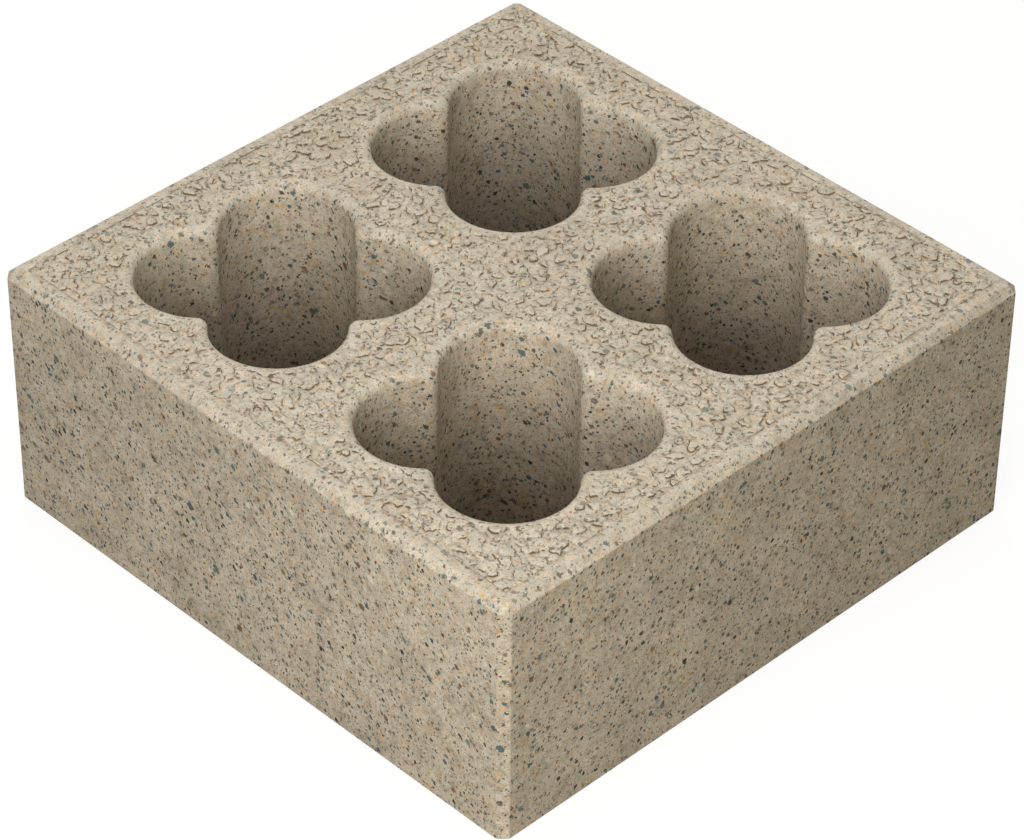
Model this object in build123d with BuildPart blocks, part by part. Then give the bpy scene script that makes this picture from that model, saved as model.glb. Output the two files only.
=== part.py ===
"""Square concrete planter block with four quatrefoil openings cast through it.

Sizes are in millimetres. The origin is at the centre of the base, and +Z points up.
"""

import os

from build123d import *

# The block, whose walls between the openings are as thick as those around them
block_height = 160
wall_thickness = 40
edge_chamfer = 5

# The openings, each of four round lobes that run into each other
openings_per_side = 2
lobes_per_side = 2
lobe_radius = 38
lobe_pitch = 61.5

# The rounding of the openings at the upper face, and what it leaves of each cusp there
rim_radius = 5.5
cusp_land_radius = 0.6

# Sizes that follow
opening_width = lobe_pitch + 2 * lobe_radius
opening_pitch = opening_width + wall_thickness
block_side = openings_per_side * opening_pitch + wall_thickness
cusp_radius = rim_radius + cusp_land_radius

# The outline of one opening: its lobes, the square between their centres, and rounded cusps
with BuildSketch() as quatrefoil:
    Rectangle(lobe_pitch, lobe_pitch)
    with GridLocations(lobe_pitch, lobe_pitch, lobes_per_side, lobes_per_side):
        Circle(lobe_radius)
    cusps = quatrefoil.vertices().group_by(SortBy.DISTANCE)[0]
    fillet(cusps, cusp_radius)

# The cast block
with BuildPart() as planter_block:
    with BuildSketch():
        Rectangle(block_side, block_side)
    extrude(amount=block_height)

    # Chamfers down the corners, and then round the upper face
    chamfer(planter_block.edges().filter_by(Axis.Z), edge_chamfer)
    chamfer(planter_block.faces().sort_by(Axis.Z)[-1].outer_wire().edges(), edge_chamfer)

    # Openings from face to face
    with BuildSketch():
        with GridLocations(opening_pitch, opening_pitch, openings_per_side, openings_per_side):
            add(quatrefoil.sketch)
    extrude(amount=block_height, mode=Mode.SUBTRACT)

    # Rounded rims on the upper face alone
    upper_face = planter_block.faces().sort_by(Axis.Z)[-1]
    rims = [edge for rim in upper_face.inner_wires() for edge in rim.edges()]
    fillet(rims, rim_radius)

planter_block.part.label = "planter_block"

os.makedirs("parts", exist_ok=True)
export_step(planter_block.part, "parts/planter_block.step")

print("side", block_side, "opening width", opening_width)
print("volume", planter_block.part.volume)
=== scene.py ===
"""Concrete planter block: the finish of the cast block, the cobbles on its upper face, light and camera.

Sizes are in metres, in the part's frame. The origin is at the centre of the base, and +Z points up.
"""

import math

import bpy
import numpy as np
from mathutils import Matrix, Vector
from mathutils.geometry import delaunay_2d_cdt


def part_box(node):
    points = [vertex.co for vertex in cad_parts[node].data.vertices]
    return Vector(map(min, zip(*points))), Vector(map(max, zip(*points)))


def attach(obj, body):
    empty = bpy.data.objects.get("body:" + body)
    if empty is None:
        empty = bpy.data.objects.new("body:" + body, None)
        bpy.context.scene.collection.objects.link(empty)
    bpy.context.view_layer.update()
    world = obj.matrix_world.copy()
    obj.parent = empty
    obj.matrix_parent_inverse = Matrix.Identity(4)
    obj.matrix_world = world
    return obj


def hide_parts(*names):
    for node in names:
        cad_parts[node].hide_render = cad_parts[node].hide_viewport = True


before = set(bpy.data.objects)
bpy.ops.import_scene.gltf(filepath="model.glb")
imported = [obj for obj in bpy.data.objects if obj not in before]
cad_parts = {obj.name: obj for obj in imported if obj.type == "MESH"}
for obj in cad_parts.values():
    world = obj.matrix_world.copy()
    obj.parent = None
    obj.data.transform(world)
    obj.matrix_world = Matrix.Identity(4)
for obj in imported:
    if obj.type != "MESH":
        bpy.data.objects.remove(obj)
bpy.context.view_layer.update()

mm = 0.001
rng = np.random.default_rng(29)

# The cast block, whose side and height come from the frame
lowest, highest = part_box("planter_block")
side = highest.x - lowest.x
height = highest.z
edge_chamfer = 5 * mm
wall_thickness = 40 * mm
lobe_radius = 38 * mm
lobe_pitch = 61.5 * mm
rim_radius = 5.5 * mm
cusp_radius = 6.1 * mm
opening_pitch = (side - wall_thickness) / 2

# How far the centre of a cusp's arc lies from the middle of its opening, and half the turn of that arc
lobe_to_cusp = lobe_radius + cusp_radius
cusp_place = lobe_pitch / 2 + math.sqrt(lobe_to_cusp ** 2 - (lobe_pitch / 2) ** 2)
cusp_turn = math.asin(lobe_pitch / 2 / lobe_to_cusp)

# The cobbles, one in each cell of a loose grid, with spare cells round the block. A pair holds the least and
# the largest value.
cobble_pitch = 8 * mm
cobble_reach = (2.7 * mm, 5.1 * mm)
cobble_crown = (0.85 * mm, 1.5 * mm)
cobble_stretch = 1.3
cobble_steepness = 5
cobble_lean = 0.05
scatter_shares = (0.08, 0.92)
spare_cells = 4
searched_cells = 2

# The number that stands for the ground, where no cobble rises above it
ground = -1

# Smooth noises, which bend the cobbles' outlines, swell the ground and vary the relief and the painted shade
# at the steps
knots_before = 2
knots_after = 4
wander_cell = 5 * mm
wander_reach = 1.5 * mm
ripple_cell = 1.6 * mm
ripple_reach = 0.62 * mm
swell_cell = 4 * mm
swell_height = 0.12 * mm
strength_cell = 22 * mm
strength_share = 0.8
strength_swing_share = 0.35
step_shade_cell = 2.6 * mm
step_shade_share = 0.74
step_shade_swing_share = 0.8

# The plain margin, which lies halfway up the highest cobbles, and the fade of the relief at the rims
margin_height = 0.75 * mm
margin_width = 10.9 * mm
margin_step = 0.2 * mm
rim_fade = 3 * mm
band_level = height - margin_height

# The meshing: softened edges, steps round the arcs and along the sides, and the gaps between points
arris = 0.45 * mm
lobe_steps = 66
cusp_steps = 8
rim_steps = 6
side_steps = 90
border_gap = 1 * mm
crease_gap = 0.62 * mm
flank_offset = 0.95 * mm
flank_gap = 0.48 * mm
open_gap = 1.55 * mm
open_clearance = 0.68 * open_gap
plain_gap = 2.6 * mm
plain_clearance = 0.7 * plain_gap
plain_border = plain_gap / 4
jitter_share = 0.2
plain_jitter_share = 0.15

# The search for the creases between cobbles, in which a fine spread of points moves down the slopes
probe_gap = 0.5 * mm
slope_probe = 0.02 * mm
crease_moves = 4
least_slope = 0.3
least_crease_slope = 0.4
crease_tolerance = 0.01 * mm
cover_tolerance = 0.02 * mm

# Points nearer than this count as one, and no slope counts as less
tiny = 1e-9

# The height of a step whose foot gets the full painted shade, and how far up the openings' walls get painted
# shade
full_step = 0.42 * mm
wall_shade_height = 96 * mm


def eased(share):
    """A share from 0 to 1 that starts and ends gently."""
    return share * share * (3 - 2 * share)


def noise_field(cell):
    """A smooth random function of the plan, from -1 to 1, that changes over one cell."""
    count = math.ceil(side / cell) + knots_before + knots_after
    knots = rng.uniform(-1, 1, (count, count))

    def value(plan):
        place = (plan + side / 2) / cell + knots_before
        corner = np.clip(np.floor(place).astype(int), 0, count - 2)
        col, row = corner.T
        east, north = eased(place - corner).T
        near = knots[col, row] * (1 - east) + knots[col + 1, row] * east
        far = knots[col, row + 1] * (1 - east) + knots[col + 1, row + 1] * east
        return near * (1 - north) + far * north

    return value


def random_between(pair, shape):
    """An array of random numbers that lie between the two of the pair."""
    return rng.uniform(pair[0], pair[1], shape)


# Each cobble is an oval with its own place, size, turn, height and lean
cells = math.ceil(side / cobble_pitch) + 2 * spare_cells
grid_start = -cells * cobble_pitch / 2
cell_corner = np.stack(np.meshgrid(np.arange(cells), np.arange(cells), indexing="ij"), -1).reshape(-1, 2)
cobble_scatter = random_between(scatter_shares, cell_corner.shape)
cobble_place = grid_start + (cell_corner + cobble_scatter) * cobble_pitch
cobble_size = random_between(cobble_reach, len(cell_corner))
cobble_oval = random_between((1, cobble_stretch), len(cell_corner))
cobble_turn = random_between((0, math.pi), len(cell_corner))
cobble_axis = np.stack([np.cos(cobble_turn), np.sin(cobble_turn)], -1)
cobble_top = random_between(cobble_crown, len(cell_corner))
cobble_tilt = random_between((-cobble_lean, cobble_lean), cell_corner.shape)

wander_x, wander_y = noise_field(wander_cell), noise_field(wander_cell)
ripple_x, ripple_y = noise_field(ripple_cell), noise_field(ripple_cell)
swell = noise_field(swell_cell)
strength = noise_field(strength_cell)
step_shade_noise = noise_field(step_shade_cell)


def bent(plan):
    """The plan with its points shifted a little, which makes the cobbles' outlines irregular."""
    wander = np.stack([wander_x(plan), wander_y(plan)], -1) * wander_reach
    ripple = np.stack([ripple_x(plan), ripple_y(plan)], -1) * ripple_reach
    return plan + wander + ripple


def cobble_height(plan, cobble):
    """The height of each numbered cobble, or of the ground, at its own point of the bent plan."""
    away = plan - cobble_place[cobble]
    axis = cobble_axis[cobble]
    size = cobble_size[cobble]
    oval = cobble_oval[cobble]
    along = (away * axis).sum(-1) / (size * oval)
    across = (away[:, 1] * axis[:, 0] - away[:, 0] * axis[:, 1]) / (size / oval)
    out = along ** 2 + across ** 2
    dome = cobble_top[cobble] * (1 - out ** cobble_steepness) + (away * cobble_tilt[cobble]).sum(-1)
    return np.where(cobble == ground, swell_height * swell(plan), dome)


def highest_two(plan):
    """The highest cobble at each point, the next one under it, and the height of the first."""
    place = bent(plan)
    cell = np.floor((place - grid_start) / cobble_pitch).astype(int)
    first = np.full(len(plan), ground)
    second = np.full(len(plan), ground)
    top = cobble_height(place, first)
    under = np.full(len(plan), -np.inf)
    for col in range(-searched_cells, searched_cells + 1):
        for row in range(-searched_cells, searched_cells + 1):
            cobble = (cell[:, 0] + col) * cells + cell[:, 1] + row
            level = cobble_height(place, cobble)
            wins = level > top
            follows = ~wins & (level > under)
            second = np.where(wins, first, np.where(follows, cobble, second))
            under = np.where(wins, top, np.where(follows, level, under))
            first = np.where(wins, cobble, first)
            top = np.where(wins, level, top)
    return first, second, top


def step_between(plan, first, second):
    """How far the first cobble stands over the second at each point, and the slope of that height."""
    steps = []
    for shift in ((0, 0), (slope_probe, 0), (0, slope_probe)):
        place = bent(plan + shift)
        steps.append(cobble_height(place, first) - cobble_height(place, second))
    slope = np.stack([steps[1] - steps[0], steps[2] - steps[0]], -1) / slope_probe
    return steps[0], slope


def steepness(slope):
    """How steep each slope is, and never zero."""
    return np.hypot(*slope.T) + tiny


def wall_distance(plan):
    """How deep in the concrete each point of the plan lies, measured from the nearest opening's wall."""
    local = np.sort(np.abs(np.abs(plan) - opening_pitch / 2), axis=-1)[:, ::-1]
    lobe = np.hypot(*(local - lobe_pitch / 2).T) - lobe_radius
    ahead = cusp_place - local[:, 0]
    cusp = cusp_radius - np.hypot(ahead, local[:, 1])
    return np.where(local[:, 1] < ahead * math.tan(cusp_turn), cusp, lobe)


def relief(plan):
    """The height of the cobbled field over the plain margins."""
    top = highest_two(plan)[2]
    share = np.clip(strength_share + strength_swing_share * strength(plan), 0, 1)
    fade = eased(np.clip((wall_distance(plan) - rim_radius) / rim_fade, 0, 1))
    inside = np.abs(plan).max(-1) < side / 2 - margin_width - margin_step / 2
    return np.where(inside, (top - margin_height) * share * fade, 0)


def quatrefoil():
    """Points round one opening, counter-clockwise, and the direction into the concrete at each."""
    points = []
    inward = []
    for quarter in range(4):
        turn = quarter * math.pi / 2
        lobe_centre = Matrix.Rotation(turn, 2) @ Vector((lobe_pitch / 2, lobe_pitch / 2))
        cusp_centre = Matrix.Rotation(turn, 2) @ Vector((0, cusp_place))
        for angle in np.linspace(-cusp_turn, math.pi / 2 + cusp_turn, lobe_steps, endpoint=False) + turn:
            ray = Vector((math.cos(angle), math.sin(angle)))
            points.append(lobe_centre + ray * lobe_radius)
            inward.append(ray)
        for angle in np.linspace(cusp_turn, -cusp_turn, cusp_steps, endpoint=False) - math.pi / 2 + turn:
            ray = Vector((math.cos(angle), math.sin(angle)))
            points.append(cusp_centre + ray * cusp_radius)
            inward.append(-ray)
    return np.array(points), np.array(inward)


def softened(corners, closed):
    """A line through the corners, each with a small rounding and a flat point on either side of it."""
    corners = [np.array(corner, float) for corner in corners]
    count = len(corners)
    points = []
    for number, corner in enumerate(corners):
        if not closed and number in (0, count - 1):
            points.append(corner)
            continue
        back = corners[number - 1] - corner
        on = corners[(number + 1) % count] - corner
        back = back / np.hypot(*back) * arris
        on = on / np.hypot(*on) * arris
        points += [corner + 2 * back, corner + back, corner + (back + on) / 4, corner + on, corner + 2 * on]
    return points


def block_outline(inset):
    """Points round the block's plan, counter-clockwise, drawn in by the inset."""
    half = side / 2 - inset
    cut = side / 2 - edge_chamfer - inset * (math.sqrt(2) - 1)
    corners = [(half, cut), (cut, half)]
    for turn in range(1, 4):
        for corner in corners[:2]:
            corners.append(tuple(Matrix.Rotation(turn * math.pi / 2, 2) @ Vector(corner)))

    # The points of each chamfered corner, and then those along the side that follows it
    rounded = softened(corners, True)
    quarter = len(rounded) // 4
    points = []
    for start in range(0, len(rounded), quarter):
        points += rounded[start:start + quarter]
        last = points[-1]
        onward = rounded[(start + quarter) % len(rounded)]
        points += [last + (onward - last) * step / side_steps for step in range(1, side_steps)]
    return np.array(points)


def at_level(outline, level):
    """The points of a plan, all at one height."""
    return np.column_stack([outline, np.full(len(outline), level)])


class Shell:
    """Collects the points and faces of one closed mesh."""

    def __init__(self):
        self.points = []
        self.faces = []

    def add(self, points):
        """Adds points and gives their numbers."""
        start = len(self.points)
        self.points += [tuple(map(float, point)) for point in points]
        return np.arange(start, len(self.points))

    def skin(self, rings, outward):
        """Joins closed rings of points, from the top down, and gives the numbers of the two end rings."""
        numbers = [self.add(ring) for ring in rings]
        for upper, lower in zip(numbers, numbers[1:]):
            quad = [upper, lower, np.roll(lower, -1), np.roll(upper, -1)]
            self.faces += np.stack(quad if outward else quad[::-1], -1).tolist()
        return numbers[0], numbers[-1]

    def fill(self, loops, inner, edges, depth, upward):
        """Fills a face inside the first loop and outside the others, which lie a depth behind the walls."""
        border = np.concatenate(loops)
        plan = [Vector(self.points[number][:2]) for number in border]
        plan += [Vector(point[:2]) for point in inner]
        start = 0
        kept_edges = []
        for loop in loops:
            kept_edges += [(start + step, start + (step + 1) % len(loop)) for step in range(len(loop))]
            start += len(loop)
        kept_edges += [(start + a, start + b) for a, b in edges]
        made = delaunay_2d_cdt(plan, kept_edges, [], 0, tiny, False)
        made_points, made_faces = made[0], made[2]
        inner_numbers = self.add(inner)
        numbers = np.concatenate([border, inner_numbers])
        if len(made_points) != len(numbers):
            raise RuntimeError("two points of a flat face fell together")
        corners = np.array(made_faces)
        middle = np.array(plan)[corners].mean(1)
        corners = corners[wall_distance(middle) > depth]
        corners = corners if upward else corners[:, ::-1]
        self.faces += numbers[corners].tolist()
        return inner_numbers


def spaced(plan, gap, taken):
    """The numbers of the points that keep a gap from each other and from those taken before."""
    kept = []
    bin_size = 0.5 * mm
    reach = math.ceil(gap / bin_size)
    near = [(col, row) for col in range(-reach, reach + 1) for row in range(-reach, reach + 1)]
    for number, (x, y) in enumerate(plan.tolist()):
        col = math.floor(x / bin_size)
        row = math.floor(y / bin_size)
        clear = all((x - other_x) ** 2 + (y - other_y) ** 2 >= gap ** 2
                    for step_col, step_row in near
                    for other_x, other_y in taken.get((col + step_col, row + step_row), ()))
        if clear:
            taken.setdefault((col, row), []).append((x, y))
            kept.append(number)
    return kept


def staggered(gap, jitter):
    """Points over the whole plan in staggered rows, each a little off its place."""
    rows = np.arange(-side / 2, side / 2, gap * math.sqrt(3) / 2)
    cols = np.arange(-side / 2, side / 2, gap)
    plan = np.stack(np.meshgrid(cols, rows), -1)
    plan[1::2, :, 0] += gap / 2
    plan = plan.reshape(-1, 2)
    return plan + rng.uniform(-jitter, jitter, plan.shape) * gap


def cobbled(plan, clearance):
    """Which points lie in the cobbled field, clear of its border and of the openings' rims."""
    inside = np.abs(plan).max(-1) < side / 2 - margin_width - margin_step - clearance
    return inside & (wall_distance(plan) > rim_radius + clearance)


def crease_points():
    """Points on the creases where one cobble meets the next, and the way up the step at each."""
    plan = staggered(probe_gap, jitter_share)
    plan = plan[cobbled(plan, crease_gap / 2)]
    first, second = highest_two(plan)[:2]
    step, slope = step_between(plan, first, second)
    steep = steepness(slope)
    near = (step / steep < probe_gap) & (steep > least_slope)
    plan, first, second = plan[near], first[near], second[near]
    for move in range(crease_moves):
        step, slope = step_between(plan, first, second)
        steep = steepness(slope)[:, None]
        plan = plan - np.clip(step[:, None] / steep, -probe_gap, probe_gap) * slope / steep

    # Only points that reached a crease are kept, and only where no third cobble covers it
    step, slope = step_between(plan, first, second)
    steep = steepness(slope)
    cover = highest_two(plan)[2] - cobble_height(bent(plan), first)
    real = (cover < cover_tolerance) & (np.abs(step) < crease_tolerance) & (steep > least_crease_slope)
    real &= cobbled(plan, crease_gap / 2)
    plan = plan[real]
    way = (slope / steep[:, None])[real]
    falls = relief(plan + way * flank_offset) < relief(plan - way * flank_offset)
    return plan, np.where(falls[:, None], -way, way)


def border_rows():
    """The two rows of points at the step round the cobbled field, and the edges that join each."""
    steps = round(2 * (side / 2 - margin_width) / border_gap)
    rows = []
    edges = []
    for inset in (margin_width + margin_step, margin_width):
        half = side / 2 - inset
        run = np.linspace(-half, half, steps, endpoint=False)
        still = np.full(steps, half)
        ring = np.concatenate([np.stack(pair, -1) for pair in
                               ((run, -still), (still, run), (-run, still), (-still, -run))])
        start = sum(len(row) for row in rows)
        edges += [(start + step, start + (step + 1) % len(ring)) for step in range(len(ring))]
        rows.append(ring)
    return rows, edges


class Field:
    """Gathers the points of the upper face, with their shares of a step's foot and of its upper edge, which
    place the painted shade at the steps.
    """

    def __init__(self):
        self.taken = {}
        self.plans = []
        self.feet = []
        self.brinks = []

    def add(self, plan, gap, foot, brink):
        """Adds the points that keep the gap, and gives their numbers among those offered."""
        kept = spaced(plan, gap, self.taken)
        self.plans.append(plan[kept])
        self.feet.append(np.broadcast_to(foot, len(plan))[kept])
        self.brinks.append(np.broadcast_to(brink, len(plan))[kept])
        return kept

    def points(self):
        """All points with their heights, and the shares of each."""
        plan = np.concatenate(self.plans)
        level = np.minimum(band_level + relief(plan), height)
        return np.column_stack([plan, level]), np.concatenate(self.feet), np.concatenate(self.brinks)


def upper_face():
    """The inner points of the upper face with their shares, and the edges of the step round the cobbles."""
    field = Field()

    # The step between the cobbles and the plain margin, which has its foot on whichever side is lower and
    # gets painted shade there
    (inner, outer), edges = border_rows()
    rise = relief(inner)
    field.add(inner, 0, np.clip(-rise / full_step, 0, 1), np.where(rise > 0, 1, 0))
    field.add(outer, 0, np.clip(rise / full_step, 0, 1), np.where(rise < 0, 1, 0))

    # The creases, with a row of points up and down from each
    crease, way = crease_points()
    order = rng.permutation(len(crease))
    crease, way = crease[order], way[order]
    above = crease + way * flank_offset
    below = crease - way * flank_offset
    # How strongly the painted shade falls at each crease: by the height of its step, varied by a noise
    foot = np.clip((relief(above) - relief(below)) / full_step, 0, 1)
    foot = foot * (step_shade_share + step_shade_swing_share * step_shade_noise(crease))
    kept = field.add(crease, crease_gap, np.clip(foot, 0, 1), 0)
    for flank, brink in ((above[kept], 1), (below[kept], 0)):
        field.add(flank[cobbled(flank, flank_gap / 2)], flank_gap, 0, brink)

    # The tops of the cobbles and the open ground, and then the plain margin
    open_plan = staggered(open_gap, jitter_share)
    field.add(open_plan[cobbled(open_plan, crease_gap / 2)], open_clearance, 0, 0)
    plain = staggered(plain_gap, plain_jitter_share)
    reach = np.abs(plain).max(-1)
    outside = reach > side / 2 - margin_width + plain_border
    inside = reach < side / 2 - edge_chamfer - plain_border
    field.add(plain[outside & inside], plain_clearance, 0, 0)
    return field.points(), edges


def skin_outside(shell):
    """Skins the outside, from the plain margin over the chamfer to the base, and gives its end rings."""
    top_inset = edge_chamfer - margin_height
    corners = [(top_inset + 2 * arris, band_level), (top_inset, band_level), (0, height - edge_chamfer),
               (0, 0), (2 * arris, 0)]
    profile = softened(corners, False)[1:-1]
    return shell.skin([at_level(block_outline(inset), level) for inset, level in profile], True)


def skin_openings(shell):
    """Skins the openings, from their rounded rims to the base, and gives the upper and the lower rings."""
    outline, inward = quatrefoil()
    profile = [(rim_radius * (1 - math.sin(angle)), band_level - rim_radius * (1 - math.cos(angle)))
               for angle in np.linspace(0, math.pi / 2, rim_steps + 1)]
    profile += softened([(0, height / 2), (0, 0), (2 * arris, 0)], False)[:-1]
    tops = []
    bases = []
    for centre_x in (-opening_pitch / 2, opening_pitch / 2):
        for centre_y in (-opening_pitch / 2, opening_pitch / 2):
            rings = [at_level(outline + inward * offset + (centre_x, centre_y), level)
                     for offset, level in profile]
            top, base = shell.skin(rings, False)
            tops.append(top)
            bases.append(base)
    return tops, bases


def add_shares(mesh, name, numbers, shares):
    """Keeps a share for each numbered point of the mesh, and none for the others."""
    values = np.zeros(len(mesh.vertices), np.float32)
    values[numbers] = shares
    mesh.attributes.new(name, "FLOAT", "POINT").data.foreach_set("value", values)


def make_block():
    """The whole block as one closed mesh."""
    shell = Shell()
    outer_top, outer_base = skin_outside(shell)
    tops, bases = skin_openings(shell)
    (inner, feet, brinks), edges = upper_face()
    numbers = shell.fill([outer_top, *tops], inner, edges, rim_radius, True)
    shell.fill([outer_base, *bases], np.empty((0, 3)), [], 2 * arris, False)

    mesh = bpy.data.meshes.new("cobbled_block")
    mesh.from_pydata(shell.points, [], shell.faces)
    mesh.shade_smooth()
    # Shares that place the painted shade: at the steps' feet and upper edges, and low on the openings' walls
    add_shares(mesh, "foot", numbers, feet)
    add_shares(mesh, "brink", numbers, brinks)
    # The openings' walls get painted shade that deepens towards the base, as deep in a hole
    place = np.array(shell.points)
    on_wall = np.flatnonzero(np.abs(wall_distance(place[:, :2])) < arris)
    add_shares(mesh, "wall_shade", on_wall, np.clip(1 - place[on_wall, 2] / wall_shade_height, 0, 1))
    block = bpy.data.objects.new("cobbled_block", mesh)
    bpy.context.scene.collection.objects.link(block)
    return block


class Nodes:
    """Builds one node tree, a node a call."""

    def __init__(self, owner):
        owner.use_nodes = True
        self.tree = owner.node_tree
        self.tree.nodes.clear()

    def add(self, kind, inputs=(), **settings):
        """Adds a node with its settings, and its inputs by name or number, each a value or a socket."""
        node = self.tree.nodes.new("ShaderNode" + kind)
        for name, value in settings.items():
            setattr(node, name, value)
        for name, value in dict(inputs).items():
            socket = node.inputs[name]
            if isinstance(value, bpy.types.NodeSocket):
                self.tree.links.new(value, socket)
            else:
                socket.default_value = (*value, 1) if socket.type == "RGBA" else value
        return node

    def math(self, operation, *values, clamp=False):
        """The result of one operation on numbers or on sockets that carry them."""
        return self.add("Math", dict(enumerate(values)), operation=operation, use_clamp=clamp).outputs[0]

    def vector(self, operation, inputs):
        """The result of one operation on vectors."""
        return self.add("VectorMath", inputs, operation=operation).outputs[0]

    def mix(self, share, under, over, blend="MIX"):
        """Lays one colour over another, by a share from 0 to 1."""
        node = self.add("Mix", {0: share, 6: under, 7: over}, data_type="RGBA", blend_type=blend)
        return node.outputs[2]

    def tinted(self, colour, tint):
        """A colour multiplied by a tint."""
        return self.mix(1, colour, tint, "MULTIPLY")

    def noise(self, place, cell, detail=2, roughness=0.6):
        """A noise whose lumps are about a cell across, from 0 to 1."""
        inputs = {"Vector": place, "Scale": 1 / cell, "Detail": detail, "Roughness": roughness}
        return self.add("TexNoise", inputs)

    def ramp(self, factor, stops, interpolation="LINEAR"):
        """A colour ramp, from stops of a place and a colour."""
        node = self.add("ValToRGB", {0: factor})
        node.color_ramp.interpolation = interpolation
        while len(node.color_ramp.elements) < len(stops):
            node.color_ramp.elements.new(1)
        for element, (place, colour) in zip(node.color_ramp.elements, stops):
            element.position = place
            element.color = (*colour, 1)
        return node.outputs[0]

    def share(self, name):
        """A share that the mesh keeps for each point."""
        return self.add("Attribute", attribute_name=name).outputs["Fac"]


# The paste, the film of it over the grit, the painted shade at the steps, and the tint of the painted shade
# low on the openings' walls
paste_colour = (0.535, 0.48, 0.4)
pale_paste_colour = (0.63, 0.57, 0.48)
film_colour = (0.62, 0.565, 0.48)
shade_colour = (0.26, 0.183, 0.105)
crevice_shade_colour = (0.085, 0.06, 0.036)
wall_shade_tint = (0.63, 0.53, 0.43)

# The stones
dark_teal = (0.024, 0.048, 0.054)
teal = (0.07, 0.135, 0.145)
dark_brown = (0.045, 0.03, 0.02)
brown = (0.16, 0.095, 0.05)
ochre = (0.58, 0.35, 0.14)
pale_ochre = (0.64, 0.46, 0.26)
cream = (0.72, 0.66, 0.54)

# The noises in the colour: the sizes of their lumps, and the colours and tints that their values give
cloud_cell = 26 * mm
cloud_stops = [(0.35, paste_colour), (0.65, pale_paste_colour)]
mottle_cell = 5 * mm
mottle_stops = [(0.3, (0.72, 0.69, 0.64)), (0.5, (1, 1, 1)), (0.7, (1.13, 1.13, 1.13))]
sand_cell = 0.9 * mm
sand_stops = [(0.3, (0.56, 0.51, 0.45)), (0.44, (0.94, 0.93, 0.92)), (0.58, (1.04, 1.04, 1.04)),
              (0.7, (1.14, 1.14, 1.13))]
hue_cell = 2 * mm
hue_stops = [(0.32, (0.76, 0.9, 0.95)), (0.45, (0.99, 1, 1.01)), (0.56, (1.01, 1, 0.98)),
             (0.69, (1.07, 0.89, 0.67))]
hue_shift = (0.31, 0.17, 0.53)
wobble_cell = 1.4 * mm
wobble_reach = 2.4 * mm
noise_middle = (0.5, 0.5, 0.5)

# Layers of stones, with the share of places that hold one, and the least and the largest radius
stone_layers = [
    dict(spacing=1.4 * mm, share=0.62, radius=(0.2 * mm, 0.5 * mm),
         turn=(0.3, 1.1, 0.4), stretch=(1.2, 0.9, 1),
         colours=[dark_teal, brown, teal, ochre, dark_brown, teal, brown, dark_brown]),
    dict(spacing=2.3 * mm, share=0.72, radius=(0.45 * mm, 1 * mm),
         turn=(1, 0.2, 0.7), stretch=(0.9, 1.25, 1),
         colours=[dark_teal, ochre, dark_brown, teal, brown, dark_teal, dark_brown, teal]),
    dict(spacing=3.9 * mm, share=0.66, radius=(0.7 * mm, 1.5 * mm),
         turn=(0.5, 2.4, 1.3), stretch=(1, 0.9, 1.3),
         colours=[teal, ochre, dark_teal, brown, dark_teal, pale_ochre, dark_brown, teal]),
    dict(spacing=9 * mm, share=0.42, radius=(1.1 * mm, 2.3 * mm),
         turn=(2.1, 0.8, 0.2), stretch=(1.3, 1, 0.85),
         colours=[dark_teal, teal, pale_ochre, teal, brown, cream]),
]
stone_edge = 0.2 * mm
faint_share = 0.35
film_share = 0.22

# How dark the painted shade on the steps gets: over the whole step, and in the crevice where a high step is
# darkest
shade_of_step = 2.6
shade_of_foot = 0.55
crevice_start = 0.1
crevice_gain = 8
step_shade_cover_share = 0.85

# The surface: its bump, and how rough and how shiny it is
bump_grain_cell = 0.6 * mm
bump_lump_cell = 3 * mm
lump_weight = 1.5
bump_height = 0.25 * mm
bump_strength = 0.5
paste_roughness = 0.95
stone_polish = 0.2
specular_level = 0.12


def loosened(nodes, place):
    """The place shifted a little, which makes the sand and the stones irregular."""
    wobble = nodes.noise(place, wobble_cell, roughness=0.5).outputs["Color"]
    wobble = nodes.vector("SUBTRACT", {0: wobble, 1: noise_middle})
    wobble = nodes.vector("SCALE", {0: wobble, "Scale": wobble_reach})
    return nodes.vector("ADD", {0: place, 1: wobble})


def stone_layer(nodes, place, spacing, share, radius, turn, stretch, colours):
    """One size of stones scattered through the block: their colour and how much they cover."""
    inputs = {"Vector": place, "Rotation": turn, "Scale": stretch}
    turned = nodes.add("Mapping", inputs, vector_type="TEXTURE").outputs[0]
    stones = nodes.add("TexVoronoi", {"Vector": turned, "Scale": 1 / spacing})
    lot = nodes.add("SeparateColor", {0: stones.outputs["Color"]})
    least, largest = radius
    reach = nodes.math("MULTIPLY_ADD", lot.outputs[2], (largest - least) / spacing, least / spacing)
    depth = nodes.math("SUBTRACT", reach, stones.outputs["Distance"])
    cover = nodes.math("MULTIPLY", depth, spacing / stone_edge, clamp=True)
    there = nodes.math("LESS_THAN", lot.outputs[0], share)
    opacity = nodes.math("MULTIPLY_ADD", lot.outputs[0], -faint_share / share, 1)
    cover = nodes.math("MULTIPLY", cover, nodes.math("MULTIPLY", there, opacity))
    stops = [(number / len(colours), colour) for number, colour in enumerate(colours)]
    return nodes.ramp(lot.outputs[1], stops, "CONSTANT"), cover


def shaded_at_steps(nodes, colour):
    """The colour with painted shade on the steps between the cobbles, which is darkest low down."""
    foot = nodes.share("foot")
    step = nodes.math("MULTIPLY", foot, nodes.share("brink"))
    shade = nodes.math("MULTIPLY", foot, shade_of_foot)
    shade = nodes.math("MULTIPLY_ADD", step, shade_of_step, shade, clamp=True)
    colour = nodes.mix(nodes.math("MULTIPLY", shade, step_shade_cover_share), colour, shade_colour)
    # A darker painted shade in the crevice, where a high step is darkest
    crevice = nodes.math("MULTIPLY_ADD", step, crevice_gain, -crevice_gain * crevice_start, clamp=True)
    return nodes.mix(nodes.math("MULTIPLY", crevice, step_shade_cover_share), colour, crevice_shade_colour)


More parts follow.
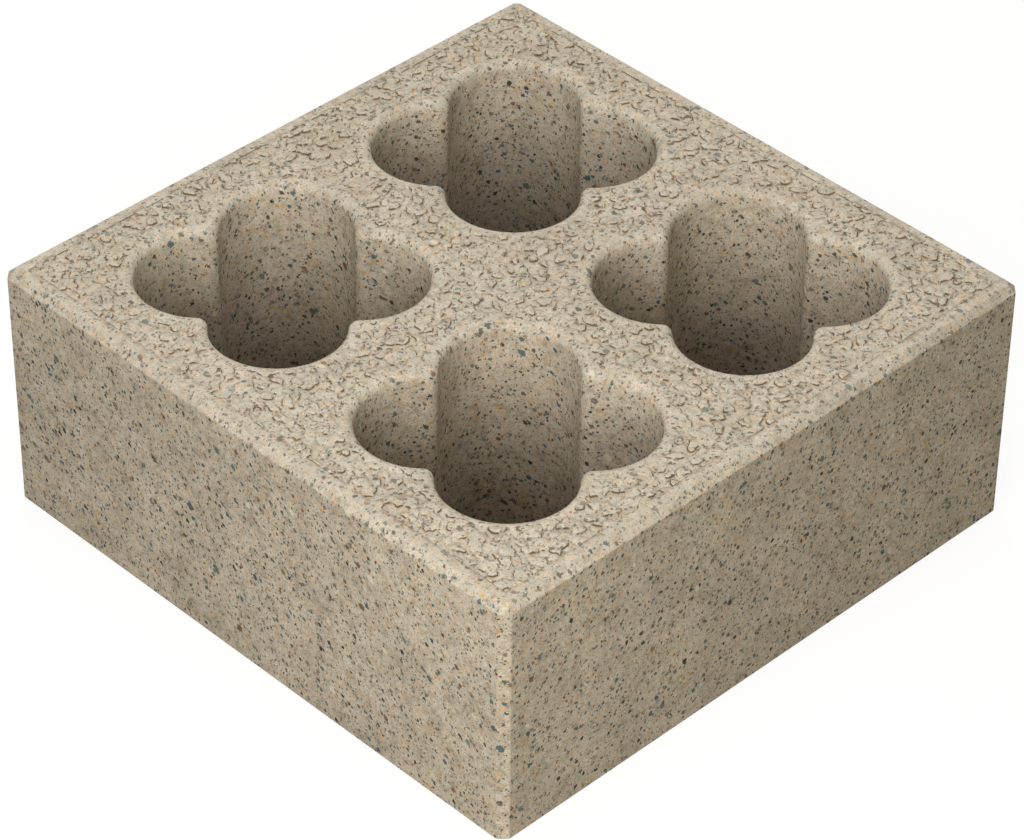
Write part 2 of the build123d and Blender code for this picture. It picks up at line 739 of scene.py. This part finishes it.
def make_concrete():
    """The concrete of the block, with its grit running through it in three dimensions."""
    material = bpy.data.materials.new("concrete")
    nodes = Nodes(material)
    coordinates = nodes.add("TexCoord")
    place = coordinates.outputs["Object"]
    loose = loosened(nodes, place)

    # Paste in pale and darker clouds, mottled, with dark and pale sand in it
    clouds = nodes.noise(place, cloud_cell, detail=3, roughness=0.5).outputs[0]
    mottle = nodes.noise(place, mottle_cell, detail=3, roughness=0.65).outputs[0]
    sand = nodes.noise(loose, sand_cell).outputs[0]
    colour = nodes.tinted(nodes.ramp(clouds, cloud_stops), nodes.ramp(mottle, mottle_stops))
    colour = nodes.tinted(colour, nodes.ramp(sand, sand_stops))

    # Stones, from small to large
    stones = 0.0
    for layer in stone_layers:
        stone_colour, cover = stone_layer(nodes, loose, **layer)
        colour = nodes.mix(cover, colour, stone_colour)
        stones = nodes.math("MAXIMUM", stones, cover)

    # A thin film of paste over the grit on the upper face, and teal and ochre hues over all
    up = nodes.add("SeparateXYZ", {0: coordinates.outputs["Normal"]}).outputs[2]
    film = nodes.math("MULTIPLY", up, film_share, clamp=True)
    hues = nodes.noise(nodes.vector("ADD", {0: loose, 1: hue_shift}), hue_cell).outputs[0]
    colour = nodes.mix(film, colour, film_colour)
    colour = nodes.tinted(colour, nodes.ramp(hues, hue_stops))

    # Painted shade at the steps, and painted shade on the openings' walls that deepens towards the base
    colour = shaded_at_steps(nodes, colour)
    colour = nodes.mix(nodes.share("wall_shade"), colour, nodes.tinted(colour, wall_shade_tint))

    # Grains and lumps in the surface, and stones a little smoother than the paste
    grains = nodes.noise(place, bump_grain_cell).outputs[0]
    lumps = nodes.noise(place, bump_lump_cell).outputs[0]
    surface = nodes.math("MULTIPLY_ADD", lumps, lump_weight, grains)
    bump = nodes.add("Bump", {"Height": surface, "Strength": bump_strength, "Distance": bump_height})
    rough = nodes.math("MULTIPLY_ADD", stones, -stone_polish, paste_roughness)
    shader = nodes.add("BsdfPrincipled", {"Base Color": colour, "Roughness": rough,
                                          "Normal": bump.outputs[0], "Specular IOR Level": specular_level})
    nodes.add("OutputMaterial", {0: shader.outputs[0]})
    return material


# The photograph's view, with its angles in degrees, and the lens and the sensor in millimetres
view_azimuth = 45.261
view_elevation = 38.681
view_roll = 0.651
view_distance = 2.456
view_right = 1.2 * mm
view_up = 45.6 * mm
lens_length = 151.5
sensor_width = 36

# The floor, the even fill, and the white that the camera sees behind them
floor_reach = 4
floor_colour = (0.16, 0.16, 0.16)
floor_glow = 0.87
fill_level = 0.15
fill_colour = (1, 0.88, 0.67)
white = (1, 1, 1)

# The lamps, placed by their angles in degrees
lamps = [
    dict(name="overhead", azimuth=45, elevation=84, distance=1.8, size=0.9,
         level=0.41, colour=(0.94, 0.965, 1)),
    dict(name="back_light", azimuth=235, elevation=38, distance=2, size=0.7,
         level=0.305, colour=(1, 0.96, 0.9)),
    dict(name="key", azimuth=30, elevation=28, distance=1.5, size=0.95,
         level=0.66, colour=(1, 0.965, 0.92)),
    dict(name="side_light", azimuth=60, elevation=15, distance=1.4, size=0.9,
         level=0.165, colour=(1, 0.9, 0.66)),
    dict(name="back_fill", azimuth=205, elevation=8, distance=2.4, size=1.4,
         level=0.2, colour=(1, 0.92, 0.77)),
]


def direction(azimuth, elevation):
    """The way from the block to something, by its azimuth from the front and its elevation in degrees."""
    azimuth = math.radians(azimuth)
    elevation = math.radians(elevation)
    return Vector((math.sin(azimuth) * math.cos(elevation), -math.cos(azimuth) * math.cos(elevation),
                   math.sin(elevation)))


def make_camera():
    """The camera of the photograph, seen over the corner between the front and the right side."""
    azimuth = math.radians(view_azimuth)
    roll = math.radians(view_roll)
    away = direction(view_azimuth, view_elevation)
    right = Vector((math.cos(azimuth), math.sin(azimuth), 0))
    up = away.cross(right)
    turned_right = math.cos(roll) * right + math.sin(roll) * up
    turned_up = math.cos(roll) * up - math.sin(roll) * right
    stand = Matrix((turned_right, turned_up, away)).transposed().to_4x4()
    stand.translation = away * view_distance + right * view_right + up * view_up
    data = bpy.data.cameras.new("camera")
    data.sensor_width = sensor_width
    data.lens = lens_length
    camera = bpy.data.objects.new("camera", data)
    camera.matrix_world = stand
    bpy.context.scene.collection.objects.link(camera)
    bpy.context.scene.camera = camera


def make_softbox(name, azimuth, elevation, distance, size, level, colour):
    """A square lamp turned to the block. At level 1 it lights a white surface that faces it to white."""
    data = bpy.data.lights.new(name, "AREA")
    data.shape = "SQUARE"
    data.size = size
    data.color = colour
    data.energy = (math.pi * distance) ** 2 * level
    lamp = bpy.data.objects.new(name, data)
    lamp.location = direction(azimuth, elevation) * distance
    middle = Vector((0, 0, height / 2))
    lamp.rotation_euler = (middle - lamp.location).to_track_quat("-Z", "Y").to_euler()
    bpy.context.scene.collection.objects.link(lamp)


def seen_rays(nodes):
    """1 for the rays that see the background, straight, in a reflection or through glass."""
    path = nodes.add("LightPath")
    seen = nodes.math("MAXIMUM", path.outputs["Is Camera Ray"], path.outputs["Is Glossy Ray"])
    return nodes.math("MAXIMUM", seen, path.outputs["Is Transmission Ray"])


def make_floor():
    """A plain pale floor, white where it is seen away from the block's soft shadow."""
    mesh = bpy.data.meshes.new("floor")
    corners = [(x * floor_reach, y * floor_reach, 0) for x, y in ((-1, -1), (1, -1), (1, 1), (-1, 1))]
    mesh.from_pydata(corners, [], [(0, 1, 2, 3)])
    floor = bpy.data.objects.new("floor", mesh)
    bpy.context.scene.collection.objects.link(floor)
    material = bpy.data.materials.new("floor")
    nodes = Nodes(material)
    matt = nodes.add("BsdfDiffuse", {"Color": floor_colour})
    glow = nodes.add("Emission", {"Color": white, "Strength": floor_glow})
    lit = nodes.add("AddShader", {0: matt.outputs[0], 1: glow.outputs[0]})
    both = nodes.add("MixShader", {0: seen_rays(nodes), 1: matt.outputs[0], 2: lit.outputs[0]})
    nodes.add("OutputMaterial", {0: both.outputs[0]})
    mesh.materials.append(material)


def make_world():
    """An even fill, and a white background behind the floor."""
    world = bpy.data.worlds.new("studio")
    bpy.context.scene.world = world
    nodes = Nodes(world)
    fill = nodes.add("Background", {"Color": fill_colour, "Strength": fill_level})
    background = nodes.add("Background", {"Color": white, "Strength": 1})
    both = nodes.add("MixShader", {0: seen_rays(nodes), 1: fill.outputs[0], 2: background.outputs[0]})
    nodes.add("OutputWorld", {0: both.outputs[0]})


block = make_block()
block.data.materials.append(make_concrete())
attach(block, "root")
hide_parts("planter_block")

make_camera()
make_floor()
make_world()
for lamp in lamps:
    make_softbox(**lamp)
bpy.context.scene.view_settings.view_transform = "Standard"
